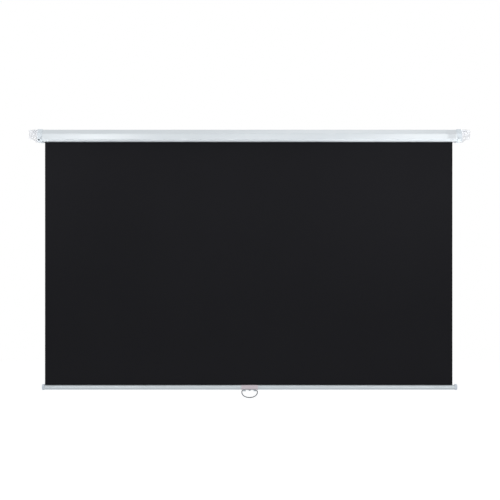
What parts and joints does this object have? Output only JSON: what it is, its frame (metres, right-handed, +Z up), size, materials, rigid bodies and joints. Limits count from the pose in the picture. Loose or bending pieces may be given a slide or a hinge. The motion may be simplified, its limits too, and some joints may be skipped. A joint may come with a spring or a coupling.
{
  "type": "pull-down projector screen",
  "caption": "Wall or ceiling hung case with a ratchet spring roller and a dark screen sheet that hangs from it, weighted by a round bar with a wire pull ring.",
  "frame": {"origin": "centre of the flat back face of the case", "axes": "+X along the case to the viewer's right, +Y out of the back face into the wall, +Z up"},
  "size_m": [2.488, 0.0709, 1.5061],
  "materials": {
    "white_paint": "gloss cool white paint",
    "pale_moulding": "semi-gloss pale moulding",
    "plain_steel": "zinc plated",
    "grey_film": "satin film",
    "nylon": "natural",
    "spring_steel": "oiled spring wire",
    "screen_cloth": "matt dark coated cloth",
    "aluminium_tube": "mill finish",
    "black_moulding": "satin",
    "bar_paint": "satin silver grey paint",
    "bar_moulding": "satin blue grey",
    "rose_film": "satin film",
    "wire_steel": "bright plated wire"
  },
  "bodies": {
    "housing": {"case_shell": "white_paint", "end_cap_left": "pale_moulding", "end_cap_right": "pale_moulding", "bracket_left": "pale_moulding", "bracket_right": "pale_moulding", "bracket_screw_left_upper": "plain_steel", "bracket_screw_left_lower": "plain_steel", "bracket_screw_right_upper": "plain_steel", "bracket_screw_right_lower": "plain_steel", "cap_screw_left_front": "plain_steel", "cap_screw_left_foot": "plain_steel", "cap_screw_right_front": "plain_steel", "cap_screw_right_foot": "plain_steel", "case_badge": "grey_film", "spindle": "plain_steel", "ratchet_cam": "plain_steel", "spring_anchor": "nylon", "roller_spring": "spring_steel", "idler_bush": "nylon", "screen_sheet": "screen_cloth"},
    "roller": {"roller_tube": "aluminium_tube", "roller_plug_left": "black_moulding", "roller_plug_right": "black_moulding", "idler_pin": "plain_steel", "spring_drive_plug": "nylon", "sheet_wraps": "screen_cloth", "pawl_pin_a": "plain_steel", "pawl_pin_b": "plain_steel"},
    "pawl_a": {"pawl_a": "plain_steel"},
    "pawl_b": {"pawl_b": "plain_steel"},
    "bar": {"bar_tube": "bar_paint", "bar_cap_left": "bar_moulding", "bar_cap_right": "bar_moulding", "hem_rod": "nylon", "sheet_hem": "screen_cloth", "handle_band": "rose_film", "handle_saddle": "plain_steel", "saddle_screw": "plain_steel", "saddle_nut": "plain_steel"},
    "ring": {"pull_ring": "wire_steel"}
  },
  "joints": [
    {"name": "bar_slide", "type": "slide", "parent": "housing", "child": "bar", "axis": [0, 0, 1], "range_m": [0, 1.35088], "deforming": ["screen_sheet"]},
    {"name": "roller_spin", "type": "hinge", "parent": "housing", "child": "roller", "pos_m": [0, -0.03803, 0], "axis": [1, 0, 0], "range_deg": [0, 3600]},
    {"name": "pawl_a_swing", "type": "hinge", "parent": "roller", "child": "pawl_a", "pos_m": [-1.1592, -0.03803, 0.015], "axis": [1, 0, 0], "range_deg": [0, 25]},
    {"name": "pawl_b_swing", "type": "hinge", "parent": "roller", "child": "pawl_b", "pos_m": [-1.1592, -0.03803, -0.015], "axis": [1, 0, 0], "range_deg": [0, 25]},
    {"name": "ring_swing", "type": "hinge", "parent": "bar", "child": "ring", "pos_m": [0, -0.016, -1.4287], "axis": [1, 0, 0], "range_deg": [-110, 110]}
  ],
  "couplings": [
    {"joint": "roller_spin", "follows": "bar_slide", "rad_per_m": 46.512}
  ]
}
